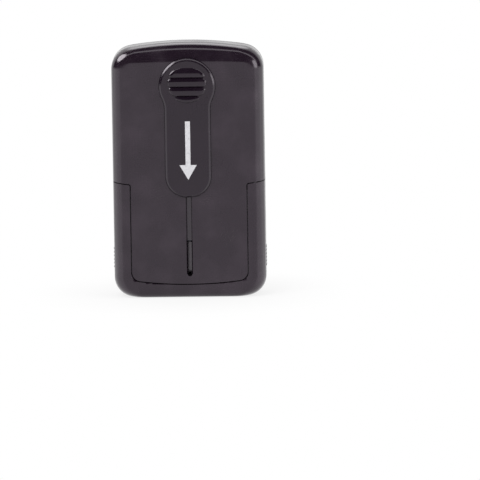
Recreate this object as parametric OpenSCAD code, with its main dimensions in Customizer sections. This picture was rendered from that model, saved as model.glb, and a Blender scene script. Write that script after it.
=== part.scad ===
// Pocket self-inking stamp, standing closed on the foot of its slip-on end cap.
// X is the width, -Y the front with the thumb slider, +Z the length. Millimetres.

/* [Case] */
// Width of the closed stamp
case_w = 46; // [44:0.5:52]
// Thickness of the closed stamp
case_t = 17; // [16.6:0.1:19]
// Length of the closed stamp
case_h = 77.3; // [76:0.1:90]
// Wall of the two case shells
shell_wall = 1.2; // [1:0.05:1.4]
// Rounding of the long edges
edge_r = 5.5; // [5:0.1:5.8]
// Radius of the two top corners seen from the front
top_r = 6.7; // [6.2:0.1:9]
// Radius of the slightly arched top
crown_r = 110; // [80:1:200]
// Height of the case mouth, where the end cap begins
mouth_z = 35.4; // [34.6:0.1:37]
// Thickness of the frame band that shows between the shells
band_t = 5.4; // [4.6:0.1:5.8]
// Width of the tongue on the front shell
tongue_w = 35; // [33:0.1:35]
// Height of the tongue's tip
tongue_tip = 3.9; // [3.6:0.1:5]
// Radius of the slightly bowed edge of the tongue's tip
bow_r = 120; // [90:1:240]
// Radius of the tongue's lower corners
tongue_r = 3; // [2:0.1:3.4]
// Radius of the fillets where the tongue leaves the case
root_r = 1.3; // [0.8:0.1:2]
// Width of the groove along each side seam
groove_w = 0.4; // [0.2:0.05:0.6]
// Depth of the groove along each side seam
groove_d = 0.35; // [0.2:0.05:0.5]

/* [End cap] */
// Wall of the end cap
cap_wall = 1.1; // [0.9:0.05:1.2]
// Radius of the two foot corners seen from the front
foot_r = 6; // [5.9:0.1:8]
// Rounding of the foot's front and back edges
foot_edge = 2.5; // [2:0.1:4.5]
// Gap that shows as a seam round the end cap
seam = 0.3; // [0.2:0.05:0.4]
// Gap between the end cap and the frame rails
cap_fit = 0.2; // [0.1:0.05:0.3]
// Number of grip ribs on each side
grip_count = 6; // [4:1:8]
// Spacing of the grip ribs
grip_pitch = 1.1; // [0.9:0.05:1.4]
// Height of the lowest grip rib
grip_z = 9; // [8:0.1:11]
// Radius of the grip ribs
grip_r = 0.4; // [0.3:0.05:0.5]

/* [Frame] */
// Wall of the frame rails
rail_wall = 1.2; // [1:0.05:1.3]
// Height of the lower end of the rails
rail_tip = 4; // [3.8:0.1:4.6]
// Distance of the rails' front edge from the case's front
rail_front = 3.5; // [3.2:0.1:4.5]
// Length of the detent leaf
leaf_len = 8; // [7:0.1:9]
// Width of the detent leaf
leaf_w = 4; // [3:0.1:5]
// Thickness of the detent leaf
leaf_t = 0.3; // [0.2:0.05:0.4]
// Height of the cross bar that holds the leaf
bridge_h = 4; // [3:0.1:5]
// Thickness of the cross bar
bridge_t = 1.5; // [1.2:0.05:2]

/* [Slider] */
// Travel of the thumb slider
travel = 23; // [22:0.1:23.5]
// Thickness of the raised slider
slider_t = 1.3; // [1.1:0.05:1.6]
// Gap between the slider and the case front
slider_gap = 0.1; // [0.05:0.01:0.2]
// Diameter of the slider's round head
head_d = 16; // [15:0.1:17]
// Distance from the top of the case to the middle of the head
head_drop = 12.8; // [12.4:0.1:15]
// Width of the slider's straight strip
strip_w = 13.2; // [11:0.1:14]
// Radius of the hollow necks between the head and the strip
neck_r = 8; // [6:0.1:12]
// Radius of the strip's lower corners
strip_r = 6; // [3:0.1:6.5]
// Diameter of the ridged thumb rest
rest_d = 10.9; // [9:0.1:12]
// Spacing of the grooves in the thumb rest
groove_pitch = 2.7; // [2.2:0.05:2.8]
// Radius of each groove
groove_r = 0.7; // [0.4:0.05:0.8]
// Width of the slot in the front shell
slot_w = 1.2; // [1.1:0.05:1.6]
// Height of the lower end of the slot
slot_end = 7.3; // [6.8:0.1:8]
// Diameter of the round hole at the lower end of the slot
slot_hole = 1.8; // [1.6:0.05:2.2]
// Gap on each side of the slider's stem
stem_gap = 0.1; // [0.05:0.01:0.2]
// Length of the stem along the slot
stem_len = 7; // [6:0.1:8]
// Thickness of the carriage plate
carriage_t = 1; // [0.9:0.05:1.1]
// Width of the carriage plate
carriage_w = 17.4; // [16.4:0.1:17.8]
// Gap between the carriage and the case front
carriage_gap = 0.2; // [0.1:0.05:0.25]
// Thickness of the keeper block
keeper_t = 0.9; // [0.7:0.05:1]
// Width of the keeper block
keeper_w = 6; // [5:0.1:7]
// Reach of the keeper past each end of the stem
keeper_rim = 1; // [0.8:0.05:1.4]
// Reach of the carriage above the middle of the head
carriage_over = 3; // [2:0.1:4]

/* [Stamp plate] */
// Gap between the stamp plate and the rails
plate_gap = 0.3; // [0.25:0.05:0.6]
// Reach of the plate above its pivot
plate_up = 14.5; // [13.5:0.1:14.8]
// Reach of the plate below its pivot
plate_down = 14; // [13:0.1:14.6]
// Radius of the plate's corners
plate_corner = 3; // [2.8:0.1:4]
// Thickness of the stamp plate
plate_t = 1.5; // [1.2:0.05:1.6]
// Thickness of the adhesive foam
foam_t = 0.45; // [0.3:0.05:0.5]
// Thickness of the yellow liner
liner_t = 0.15; // [0.1:0.05:0.2]
// Bare band of the plate on each side of the liner
liner_side = 2.7; // [2.2:0.1:3.5]
// Bare band of the plate above and below the liner
liner_end = 0.6; // [0.5:0.05:1]
// Room left for a rubber die between the liner and the ink pad
die_room = 2.3; // [2.2:0.05:2.6]
// Distance of the plate's pivot below the tray's hinge
pivot_drop = 16.2; // [15.8:0.1:17]
// Radius of the pivot pin
pivot_r = 0.9; // [0.7:0.05:0.95]
// Distance from the pivot to the back of the plate
plate_stand = 1.9; // [1.85:0.05:2]
// Distance from the carriage to the pivot
pivot_stand = 1.75; // [1.7:0.05:1.8]
// Reach of the yoke above the pivot
yoke_up = 9; // [8:0.1:10]
// Reach of the yoke below the pivot
yoke_down = 5; // [4:0.1:6]
// Width of the yoke beside its bosses
yoke_rim = 3; // [2:0.1:4]
// Length of each yoke boss
yoke_boss = 3; // [2:0.1:4]
// Height of the yoke's cross piece
yoke_bridge = 2.5; // [2:0.1:3]

/* [Ink tray] */
// Gap between the ink tray and the rails
tray_gap = 1.5; // [1.3:0.05:2]
// Height of the tray's lower end
tray_tip = 2.6; // [2.3:0.1:3.4]
// Wall of the tray holder
tray_wall = 0.9; // [0.7:0.05:1.1]
// Distance of the tray's back from the case's back
tray_inset = 0.3; // [0.2:0.05:0.35]
// Wall of the pad cassette
cassette_wall = 0.8; // [0.6:0.05:1]
// How far the ink pad stands out of the tray's rim
pad_proud = 0.3; // [0.2:0.05:0.4]
// Thickness of the woven pad cover
cover_t = 0.4; // [0.3:0.05:0.5]
// Radius of the hinge knuckles
knuckle_r = 1.4; // [1.3:0.05:1.45]
// Radius of the tray's hinge pin
hinge_r = 0.75; // [0.6:0.05:0.8]
// Length of each hinge knuckle of the tray
knuckle_len = 4.2; // [3.6:0.1:4.6]
// Length of each hinge lug of the case
lug_len = 4.4; // [3.6:0.1:4.6]
// Height of the hinge lugs above the mouth
lug_rise = 5; // [4:0.1:6]

/* [Springs] */
// Diameter of the spring wire
wire_d = 0.45; // [0.35:0.01:0.47]
// Spacing of the spring curls
curl_pitch = 0.95; // [0.9:0.01:1]
// Curls of each plate spring
plate_curls = 4; // [3:1:4]
// Curls of each tray spring
tray_curls = 4; // [3:1:4]
// Radius of the plate spring, to the middle of its wire
plate_coil_r = 1.35; // [1.3:0.01:1.4]
// Radius of the tray spring, to the middle of its wire
tray_coil_r = 1.2; // [1.15:0.01:1.22]
// Reach of the plate springs' legs up the carriage
plate_leg_up = 6; // [5:0.1:7]
// Reach of the plate springs' legs up the plate
plate_leg_out = 5; // [4:0.1:6]
// Reach of the tray springs' legs into the case
tray_leg_up = 6; // [5:0.1:7]

/* [Hidden] */
$fn = 96;

// Colours
shell_black = [0.09, 0.085, 0.09];
frame_black = [0.05, 0.05, 0.055];
steel = [0.72, 0.72, 0.74];
plate_violet = [0.25, 0.22, 0.27];
liner_yellow = [0.98, 0.82, 0.52];
tray_grey = [0.2, 0.19, 0.21];
ink_violet = [0.15, 0.12, 0.3];

// Running clearance of a pin in its bore
run_fit = 0.05;
// Gap between pieces that pass each other
pass_gap = 0.3;
// Gap beside the knuckles and ears along their pins
side_gap = 0.2;
// Overlap that joins the shapes of one piece
bite = 0.5;
// A cut that passes right through
through = 3 * case_h;
// Least radius that an inner corner keeps
least_r = 0.2;

// Widths from the case inwards
rail_inset = cap_wall + cap_fit;
rail_in = case_w / 2 - rail_inset - rail_wall;
plate_w = 2 * (rail_in - plate_gap);
liner_w = plate_w - 2 * liner_side;
tray_w = 2 * (rail_in - tray_gap);

// Arched top of the outline
crown_lean = asin((case_w / 2 - top_r) / (crown_r - top_r));
crown_z = case_h - crown_r;
corner_z = crown_z + (crown_r - top_r) * cos(crown_lean);

// Layers from the front to the back
front_y = -case_t / 2;
front_in = front_y + shell_wall;
back_in = case_t / 2 - shell_wall;
carriage_y = front_in + carriage_gap;
carriage_back = carriage_y + carriage_t;
pivot_y = carriage_back + pivot_stand;
plate_y = pivot_y + plate_stand;
foam_y = plate_y + plate_t;
liner_y = foam_y + foam_t;
pad_y = liner_y + liner_t + die_room;
rim_y = pad_y + pad_proud;
tray_y = case_t / 2 - tray_inset;
hinge_y = tray_y - knuckle_r - bite / 5;

// Heights
open_gap = 0.2;
hinge_z = mouth_z - (tray_y - hinge_y) - open_gap;
pivot_z = hinge_z - pivot_drop;
strip_end = slot_end + travel - pass_gap;
stem_z = strip_end + keeper_rim;
head_z = case_h - head_drop;
carriage_top = head_z + carriage_over;
leaf_z = stem_z + stem_len + bridge_h;
leaf_y = carriage_back + keeper_t + pass_gap;
bridge_z = leaf_z + leaf_len - 3 / 4 * bridge_h;
tray_top = hinge_z - knuckle_r - pass_gap;
// Lower end of the room for the tray springs' legs
leg_end = tray_top - 4 * wire_d;

// Places along the two pins, from the middle outwards
ear_in = carriage_w / 3;
ear_out = carriage_w / 2 - side_gap;
yoke_in = carriage_w / 2 + 2 * side_gap;
yoke_out = yoke_in + yoke_boss;
pivot_half = yoke_out + side_gap;
knuckle_in = tray_w / 2 - knuckle_len;
lug_out = knuckle_in - side_gap;
lug_in = lug_out - lug_len;
hinge_half = tray_w / 2 - side_gap;
boss_r = plate_stand - run_fit;
spring_in = 4 * side_gap;
tray_spring_in = lug_in - side_gap - wire_d - tray_curls * curl_pitch;

module round_rect(low, high, r) {
    translate([low.x + r, low.y]) square([high.x - low.x - 2 * r, high.y - low.y]);
    translate([low.x, low.y + r]) square([high.x - low.x, high.y - low.y - 2 * r]);
    for (x = [low.x + r, high.x - r], y = [low.y + r, high.y - r]) translate([x, y]) circle(r);
}

// A box from its lowest to its highest corner
module box(low, high) {
    translate(low) cube(high - low);
}

// A bar along X between two places
module bar(x0, x1, y, z, r) {
    translate([x0, y, z]) rotate([0, 90, 0]) cylinder(r = r, h = x1 - x0);
}

module both_sides() {
    for (side = [0, 1]) mirror([side, 0, 0]) children();
}

// Extrudes an outline in X and Z from one depth to another
module along_y(y0, y1) {
    translate([0, y1, 0]) rotate([90, 0, 0]) linear_extrude(y1 - y0) children();
}

module front_outline(inset) {
    half = case_w / 2 - inset;
    foot_x = case_w / 2 - foot_r;
    intersection() {
        translate([0, crown_z]) circle(crown_r - inset, $fn = 360);
        union() {
            translate([-half, foot_r]) square([2 * half, corner_z - foot_r]);
            translate([-foot_x, inset]) square([2 * foot_x, case_h]);
            for (side = [-1, 1]) {
                translate([side * foot_x, foot_r]) circle(foot_r - inset);
                translate([side * (case_w / 2 - top_r), corner_z]) circle(top_r - inset);
            }
        }
    }
}

// The closed stamp's outer form, drawn in by an inset on every side
module slab(inset) {
    half = [case_w / 2 - inset, case_t / 2 - inset];
    r = edge_r - inset;
    intersection() {
        along_y(-case_t, case_t) front_outline(inset);
        linear_extrude(case_h) round_rect(-half, half, r);
        rotate([90, 0, 90]) linear_extrude(2 * case_w, center = true) {
            round_rect([-half.y, inset], [half.y, mouth_z], max(foot_edge - inset, least_r));
            round_rect([-half.y, tongue_tip + edge_r], [half.y, case_h - inset], r);
        }
    }
}

// The tongue seen from the front, with its root fillets, grown by a gap
module tongue_outline(grow) {
    half = tongue_w / 2 + grow;
    fillet_x = tongue_w / 2 + root_r;
    fillet_z = mouth_z - root_r;
    intersection() {
        round_rect([-half, tongue_tip - grow], [half, case_h], tongue_r + grow);
        translate([0, tongue_tip + bow_r]) circle(bow_r + grow, $fn = 360);
    }
    difference() {
        translate([-fillet_x, fillet_z]) square([2 * fillet_x, root_r + bite]);
        for (side = [-1, 1]) translate([side * fillet_x, fillet_z]) circle(root_r - grow);
    }
}

module end_cap() {
    color(shell_black) {
        difference() {
            slab(0);
            slab(cap_wall);
            box([-through, -through, mouth_z - seam], [through, through, through]);
            along_y(-through, 0) tongue_outline(seam);
            along_y(0, through) round_rect([-tray_w / 2 - seam, tray_tip - seam],
                                           [tray_w / 2 + seam, case_h], seam);
        }
        grip_ribs();
    }
}

// Half-round ribs along the flat of the cap's narrow sides
module grip_ribs() {
    rib_half = (case_t / 2 - edge_r) * 0.8;
    both_sides() for (i = [0 : grip_count - 1])
        intersection() {
            translate([case_w / 2 - grip_r / 2, -rib_half, grip_z + i * grip_pitch])
                rotate([-90, 0, 0]) cylinder(r = grip_r, h = 2 * rib_half);
            box([0, -case_t, 0], [case_w / 2 + grip_r / 2, case_t, mouth_z]);
        }
}

module front_shell() {
    color(shell_black)
        difference() {
            intersection() {
                difference() {
                    slab(0);
                    slab(shell_wall);
                }
                union() {
                    box([-through, -through, mouth_z], [through, -band_t / 2, through]);
                    along_y(-through, front_in) tongue_outline(0);
                }
            }
            slider_slot();
            side_groove(-band_t / 2 - groove_w);
        }
}

// Slot for the slider's stem, with a round hole at its lower end
module slider_slot() {
    slot_top = stem_z + stem_len + pass_gap;
    box([-slot_w / 2, -through, slot_end], [slot_w / 2, 0, slot_top]);
    translate([0, 0, slot_end]) rotate([90, 0, 0]) cylinder(d = slot_hole, h = through);
}

// Shallow groove round the case beside the frame's band
module side_groove(y) {
    difference() {
        box([-through, y, mouth_z - through], [through, y + groove_w, through]);
        slab(groove_d);
    }
}

module back_shell() {
    color(shell_black)
        difference() {
            union() {
                intersection() {
                    difference() {
                        slab(0);
                        slab(shell_wall);
                    }
                    box([-through, band_t / 2, mouth_z], [through, through, through]);
                }
                both_sides() hinge_lug();
            }
            bar(-through, through, hinge_y, hinge_z, hinge_r + run_fit);
            side_groove(band_t / 2);
        }
}

// Lug that hangs from the back shell and carries the tray's hinge pin
module hinge_lug() {
    lug_top = mouth_z + lug_rise;
    bar(lug_in, lug_out, hinge_y, hinge_z, knuckle_r);
    box([lug_in, hinge_y - knuckle_r, hinge_z], [lug_out, back_in + bite, lug_top]);
}

// Band between the shells, and the rails that carry on below the mouth
module inner_frame() {
    color(frame_black) {
        intersection() {
            difference() {
                slab(0);
                slab(shell_wall);
            }
            box([-through, -band_t / 2, mouth_z], [through, band_t / 2, through]);
        }
        difference() {
            intersection() {
                difference() {
                    slab(rail_inset);
                    slab(rail_inset + rail_wall);
                }
                box([-through, front_y + rail_front, rail_tip], [through, band_t / 2, bridge_z + bridge_h]);
            }
            box([-rail_in, -through, 0], [rail_in, through, through]);
        }
        both_sides() box([case_w / 2 - shell_wall - bite, -band_t / 2, mouth_z],
                         [case_w / 2 - bite, band_t / 2, bridge_z + bridge_h]);
        leaf_bridge();
    }
}

// Cross bar between the rails that the detent leaf hangs from
module leaf_bridge() {
    half = rail_in + rail_wall / 2;
    box([-half, leaf_y + leaf_t, bridge_z], [half, leaf_y + leaf_t + bridge_t, bridge_z + bridge_h]);
}

module detent_spring() {
    nose_r = keeper_t;
    half = leaf_w / 2;
    color(steel) {
        box([-half, leaf_y, leaf_z], [half, leaf_y + leaf_t, leaf_z + leaf_len]);
        intersection() {
            bar(-half, half, leaf_y, leaf_z + nose_r, nose_r);
            box([-half, carriage_back + run_fit, leaf_z], [half, leaf_y + leaf_t, leaf_z + leaf_len]);
        }
    }
}

module tray_hinge_pin() {
    color(steel) bar(-hinge_half, hinge_half, hinge_y, hinge_z, hinge_r);
}

module slider_outline() {
    half = strip_w / 2;
    neck_x = half + neck_r;
    neck_drop = sqrt(pow(head_d / 2 + neck_r, 2) - pow(neck_x, 2));
    on_head = [neck_x, -neck_drop] * (head_d / 2) / (head_d / 2 + neck_r);
    translate([0, head_z]) {
        circle(d = head_d);
        for (side = [0, 1]) mirror([side, 0]) difference() {
            polygon([[0, 0], on_head, [half, -neck_drop], [0, -neck_drop]]);
            translate([neck_x, -neck_drop]) circle(neck_r);
        }
    }
    round_rect([-half, strip_end], [half, head_z - neck_drop + strip_r], strip_r);
}

module thumb_slider() {
    slider_y = front_y - slider_gap;
    stem_half = slot_w / 2 - stem_gap;
    color(shell_black) {
        difference() {
            along_y(slider_y - slider_t, slider_y) slider_outline();
            thumb_grooves(slider_y - slider_t);
        }
        box([-stem_half, slider_y - bite, stem_z],
            [stem_half, carriage_back + keeper_t / 2, stem_z + stem_len]);
    }
}

// Four grooves across the round thumb rest
module thumb_grooves(face_y) {
    intersection() {
        for (i = [-1.5 : 1 : 1.5])
            bar(-rest_d, rest_d, face_y, head_z + i * groove_pitch, groove_r);
        translate([0, 0, head_z]) rotate([90, 0, 0]) cylinder(d = rest_d, h = through, center = true);
    }
}

module slider_carriage() {
    stem_half = slot_w / 2 - stem_gap + run_fit;
    color(frame_black)
        difference() {
            union() {
                box([-carriage_w / 2, carriage_y, pivot_z], [carriage_w / 2, carriage_back, carriage_top]);
                both_sides() {
                    bar(ear_in, ear_out, pivot_y, pivot_z, boss_r);
                    box([ear_in, carriage_back - bite, pivot_z], [ear_out, pivot_y, pivot_z + boss_r]);
                }
            }
            bar(-through, through, pivot_y, pivot_z, pivot_r + run_fit);
            box([-stem_half, -through, stem_z - run_fit], [stem_half, 0, stem_z + stem_len + run_fit]);
        }
}

module slider_keeper() {
    stem_half = slot_w / 2 - stem_gap + run_fit;
    color(frame_black)
        difference() {
            box([-keeper_w / 2, carriage_back, stem_z - keeper_rim],
                [keeper_w / 2, carriage_back + keeper_t, stem_z + stem_len + keeper_rim]);
            box([-stem_half, -through, stem_z - run_fit],
                [stem_half, carriage_back + keeper_t / 2 + run_fit, stem_z + stem_len + run_fit]);
        }
}

module plate_pivot_pin() {
    color(steel) bar(-pivot_half, pivot_half, pivot_y, pivot_z, pivot_r);
}

// Hinge block on the back of the plate, open in the middle for the carriage's ears
module plate_yoke() {
    yoke_t = plate_stand / 3;
    half = yoke_out + yoke_rim;
    color(frame_black)
        difference() {
            union() {
                box([-half, plate_y - yoke_t, pivot_z - yoke_down], [half, plate_y, pivot_z + yoke_up]);
                both_sides() {
                    bar(yoke_in, yoke_out, pivot_y, pivot_z, boss_r);
                    box([yoke_in, pivot_y, pivot_z - boss_r],
                        [yoke_out, plate_y - yoke_t / 2, pivot_z + boss_r]);
                }
            }
            box([-yoke_in, -through, pivot_z - through],
                [yoke_in, through, pivot_z + yoke_up - yoke_bridge]);
            bar(-through, through, pivot_y, pivot_z, pivot_r + run_fit);
        }
}

module die_plate() {
    color(plate_violet)
        along_y(plate_y, foam_y)
            round_rect([-plate_w / 2, pivot_z - plate_down], [plate_w / 2, pivot_z + plate_up],
                       plate_corner);
}

module adhesive_foam() {
    color(plate_violet)
        box([-liner_w / 2, foam_y, pivot_z - plate_down + liner_end],
            [liner_w / 2, liner_y, pivot_z + plate_up - liner_end]);
}

module release_liner() {
    color(liner_yellow)
        box([-liner_w / 2, liner_y, pivot_z - plate_down + liner_end],
            [liner_w / 2, liner_y + liner_t, pivot_z + plate_up - liner_end]);
}

module tray_holder() {
    half = tray_w / 2;
    color(tray_grey)
        difference() {
            union() {
                box([-half, rim_y, tray_tip], [half, tray_y, tray_top]);
                both_sides() {
                    bar(knuckle_in, half, hinge_y, hinge_z, knuckle_r);
                    box([knuckle_in, hinge_y - knuckle_r, tray_top - bite],
                        [half, hinge_y + knuckle_r, hinge_z]);
                }
            }
            box([-half + tray_wall, -through, tray_tip + tray_wall],
                [half - tray_wall, tray_y - tray_wall, tray_top - tray_wall]);
            bar(-through, through, hinge_y, hinge_z, hinge_r + run_fit);
            spring_notch();
        }
}

// Room for the lower legs of the tray springs
module spring_notch() {
    leg_x = tray_spring_in + tray_curls * curl_pitch;
    notch = wire_d + 2 * pass_gap;
    both_sides() box([leg_x - notch / 2, hinge_y - tray_coil_r - notch / 2, leg_end],
                     [leg_x + notch / 2, hinge_y - tray_coil_r + notch / 2, through]);
}

module pad_cassette() {
    half = tray_w / 2 - tray_wall - run_fit;
    low = tray_tip + tray_wall + run_fit;
    high = tray_top - tray_wall - run_fit;
    color(tray_grey)
        difference() {
            box([-half, rim_y, low], [half, tray_y - tray_wall, high]);
            pad_room(rim_y - bite, tray_y - tray_wall - cassette_wall, 0);
            spring_notch();
        }
}

// Block that the pad fills inside the cassette's walls
module pad_room(y0, y1, gap) {
    half = tray_w / 2 - tray_wall - cassette_wall - 2 * run_fit - gap;
    low = tray_tip + tray_wall + cassette_wall + 2 * run_fit + gap;
    high = leg_end - cassette_wall - gap;
    box([-half, y0, low], [half, y1, high]);
}

module ink_felt() {
    color(ink_violet) pad_room(pad_y + cover_t, tray_y - tray_wall - cassette_wall, run_fit);
}

module ink_cover() {
    color(ink_violet) pad_room(pad_y, pad_y + cover_t, run_fit);
}

// Points of a coil round X: a leg in, the curls, and a leg out. Lead angles in degrees.
function coil_path(x, y, z, r, curls, leg_in, leg_out) =
    let (steps = ceil(curls * 8))
    concat(
        [[x, y - r, z + leg_in]],
        [for (i = [0 : steps]) let (a = 180 + 360 * curls * i / steps)
            [x + curls * curl_pitch * i / steps, y + r * cos(a), z + r * sin(a)]],
        [[x + curls * curl_pitch, y + r * cos(180 + 360 * curls), z + leg_out]]
    );

function unit(v) = v / norm(v);

// Direction of the path at one of its points
function heading(path, i) =
    unit(path[min(i + 1, len(path) - 1)] - path[max(i - 1, 0)]);

// One unbroken tube of six sides along a path that winds round X
module wire_tube(path) {
    sides = 6;
    points = [for (i = [0 : len(path) - 1])
        let (t = heading(path, i), u = unit(cross([1, 0, 0], t)), v = cross(t, u))
        for (k = [0 : sides - 1])
            path[i] + wire_d / 2 * (cos(360 * k / sides) * u + sin(360 * k / sides) * v)];
    last = (len(path) - 1) * sides;
    walls = [for (i = [0 : len(path) - 2], k = [0 : sides - 1])
        let (a = i * sides + k, b = i * sides + (k + 1) % sides)
        for (face = [[a, b, a + sides], [b, b + sides, a + sides]]) face];
    start = [for (k = [1 : sides - 2]) [0, k + 1, k]];
    finish = [for (k = [1 : sides - 2]) [last, last + k, last + k + 1]];
    polyhedron(points, concat(walls, start, finish));
}

// Least gap between wire points that lie a curl or more apart
function coil_gap(path) =
    min([for (i = [0 : len(path) - 1], j = [i + 6 : 1 : len(path) - 1]) norm(path[i] - path[j])]) - wire_d;

module plate_spring() {
    path = coil_path(spring_in, pivot_y, pivot_z, plate_coil_r, plate_curls + 0.5,
                     plate_leg_up, plate_leg_out);
    echo("plate spring gap", coil_gap(path));
    color(steel) wire_tube(path);
}

module tray_spring() {
    path = coil_path(tray_spring_in, hinge_y, hinge_z, tray_coil_r, tray_curls, tray_leg_up,
                     leg_end + pass_gap - hinge_z);
    echo("tray spring gap", coil_gap(path));
    color(steel) wire_tube(path);
}

module plate_spring_left() { mirror([1, 0, 0]) plate_spring(); }
module plate_spring_right() { plate_spring(); }
module tray_spring_left() { mirror([1, 0, 0]) tray_spring(); }
module tray_spring_right() { tray_spring(); }

end_cap();
front_shell();
back_shell();
inner_frame();
tray_hinge_pin();
tray_spring_left();
tray_spring_right();
detent_spring();
thumb_slider();
slider_carriage();
slider_keeper();
plate_pivot_pin();
plate_spring_left();
plate_spring_right();
plate_yoke();
die_plate();
adhesive_foam();
release_liner();
tray_holder();
pad_cassette();
ink_felt();
ink_cover();
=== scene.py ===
"""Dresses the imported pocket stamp: modelled pieces, finishes, studio and camera. Lengths are in metres."""

from __future__ import annotations

import logging
import math
from dataclasses import dataclass, replace
from enum import Enum
from typing import Any

import bmesh
import bpy
from mathutils import Matrix, Vector


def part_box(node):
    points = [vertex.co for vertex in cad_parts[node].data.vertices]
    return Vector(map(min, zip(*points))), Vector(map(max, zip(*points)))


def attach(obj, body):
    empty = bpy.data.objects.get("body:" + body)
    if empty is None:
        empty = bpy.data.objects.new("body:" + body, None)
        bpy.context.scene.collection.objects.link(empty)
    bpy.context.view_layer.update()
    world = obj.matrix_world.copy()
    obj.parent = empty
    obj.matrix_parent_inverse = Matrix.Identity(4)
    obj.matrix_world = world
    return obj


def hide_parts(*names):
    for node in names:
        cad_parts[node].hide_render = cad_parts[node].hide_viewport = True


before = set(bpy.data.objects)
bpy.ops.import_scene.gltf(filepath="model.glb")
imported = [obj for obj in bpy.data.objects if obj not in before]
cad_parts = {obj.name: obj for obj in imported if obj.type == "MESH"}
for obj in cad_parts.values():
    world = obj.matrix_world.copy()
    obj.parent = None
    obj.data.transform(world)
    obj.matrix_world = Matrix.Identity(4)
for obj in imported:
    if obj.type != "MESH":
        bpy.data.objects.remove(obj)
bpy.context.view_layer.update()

log = logging.getLogger("stamp")

MM = 0.001
QUARTER = math.pi / 2
SIDES = (-1, 1)
WHITE = (1.0, 1.0, 1.0, 1.0)
Span = tuple[float, float]
Triple = tuple[float, float, float]
Form = bmesh.types.BMesh
Edge = bmesh.types.BMEdge
Point = bmesh.types.BMVert
Material = bpy.types.Material


class Body(Enum):
    """The bodies of the stamp that move apart."""

    CAP = "cap"
    CASE = "case"
    SLIDER = "slider"
    PLATE = "plate"
    TRAY = "tray"


class Slot(Enum):
    """The record's material slots, named with each new piece."""

    GLOSS_BLACK = "gloss_black"
    STEEL = "steel"
    FOAM = "foam"
    LINER_YELLOW = "liner_yellow"
    INK_FELT = "ink_felt"
    INK_COVER = "ink_cover"


class Socket:
    """A shader value that grows Math nodes as it is used in sums."""

    def __init__(self, graph: Graph, link: bpy.types.NodeSocket) -> None:
        """Keeps the graph and the output that the value comes from."""
        self.graph = graph
        self.link = link

    def maths(self, operation: str, first: Any, second: Any = 0.0) -> Socket:
        """The value of a Math node, from numbers or Sockets."""
        return self.graph.node("ShaderNodeMath", {0: first, 1: second}, operation=operation)

    def __add__(self, other: Any) -> Socket:
        """Sum of two values."""
        return self.maths("ADD", self, other)

    def __sub__(self, other: Any) -> Socket:
        """Difference of two values."""
        return self.maths("SUBTRACT", self, other)

    def __rsub__(self, other: Any) -> Socket:
        """Difference from a number on the left."""
        return self.maths("SUBTRACT", other, self)

    def __mul__(self, other: Any) -> Socket:
        """Product of two values."""
        return self.maths("MULTIPLY", self, other)

    def larger(self, other: Any) -> Socket:
        """The larger of two values."""
        return self.maths("MAXIMUM", self, other)

    def sine(self) -> Socket:
        """Sine of the value in radians."""
        return self.maths("SINE", self)

    def size(self) -> Socket:
        """The value without its sign."""
        return self.maths("ABSOLUTE", self)

    __radd__ = __add__
    __rmul__ = __mul__


class Graph:
    """A node tree that is written as expressions."""

    def __init__(self, tree: bpy.types.NodeTree) -> None:
        """Empties the tree and keeps it."""
        self.tree = tree
        tree.nodes.clear()

    def node(self, kind: str, sockets: dict[Any, Any] | None = None, output: str | int = 0,
             **settings: Any) -> Socket:
        """Adds a node, with its settings first and then its sockets.

        Args:
            kind: the node's type.
            sockets: values or links by a socket's name or number.
            output: the output that is wanted.
            settings: attributes of the node.

        Returns:
            The wanted output, or the first input of a node that has no output.
        """
        node = self.tree.nodes.new(kind)
        for name, value in settings.items():
            setattr(node, name, value)
        for key, value in (sockets or {}).items():
            if isinstance(value, Socket):
                self.tree.links.new(value.link, node.inputs[key])
            else:
                node.inputs[key].default_value = value
        return Socket(self, node.outputs[output] if node.outputs else node.inputs[0])

    def vector(self, operation: str, first: Any, second: Any = (0, 0, 0), output: str = "Value") -> Socket:
        """The output of a Vector Math node, from vectors or Sockets."""
        return self.node("ShaderNodeVectorMath", {0: first, 1: second}, output, operation=operation)

    def mapped(self, vector: Socket, **changes: Triple) -> Socket:
        """A vector after a Mapping node's Rotation or Scale."""
        return self.node("ShaderNodeMapping", {"Vector": vector, **changes})

    def place(self, stretch: Triple | None = None) -> Socket:
        """Object coordinates, stretched along X, Y and Z where asked."""
        place = self.node("ShaderNodeTexCoord", output="Object")
        return self.mapped(place, Scale=stretch) if stretch else place

    def parts(self, vector: Socket) -> tuple[Socket, ...]:
        """X, Y and Z of a vector."""
        split = self.node("ShaderNodeSeparateXYZ", {0: vector}).link.node
        return tuple(Socket(self, output) for output in split.outputs)

    def noise(self, place: Socket, size: float, detail: float = 2.0) -> Socket:
        """Cloudy noise from 0 to 1, by the width of a cloud and the octaves of finer ones."""
        return self.node("ShaderNodeTexNoise", {"Vector": place, "Scale": 1 / size, "Detail": detail})

    def cells(self, place: Socket, size: float) -> Socket:
        """Distance in cells to the nearest of scattered points, by their mean distance."""
        return self.node("ShaderNodeTexVoronoi", {"Vector": place, "Scale": 1 / size})

    def between(self, value: Socket, low: float, high: float) -> Socket:
        """A smooth step from 0 at low to 1 at high."""
        sockets = {"Value": value, "From Min": low, "From Max": high}
        return self.node("ShaderNodeMapRange", sockets, interpolation_type="SMOOTHSTEP")

    def tint(self, share: Socket, first: Any, second: Any) -> Socket:
        """A colour with a share of the second of two, which are colours or Sockets."""
        pair = [value if isinstance(value, Socket) else (*value, 1.0) for value in (first, second)]
        return self.node("ShaderNodeMix", {"Factor": share, 6: pair[0], 7: pair[1]}, 2, data_type="RGBA")


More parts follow.
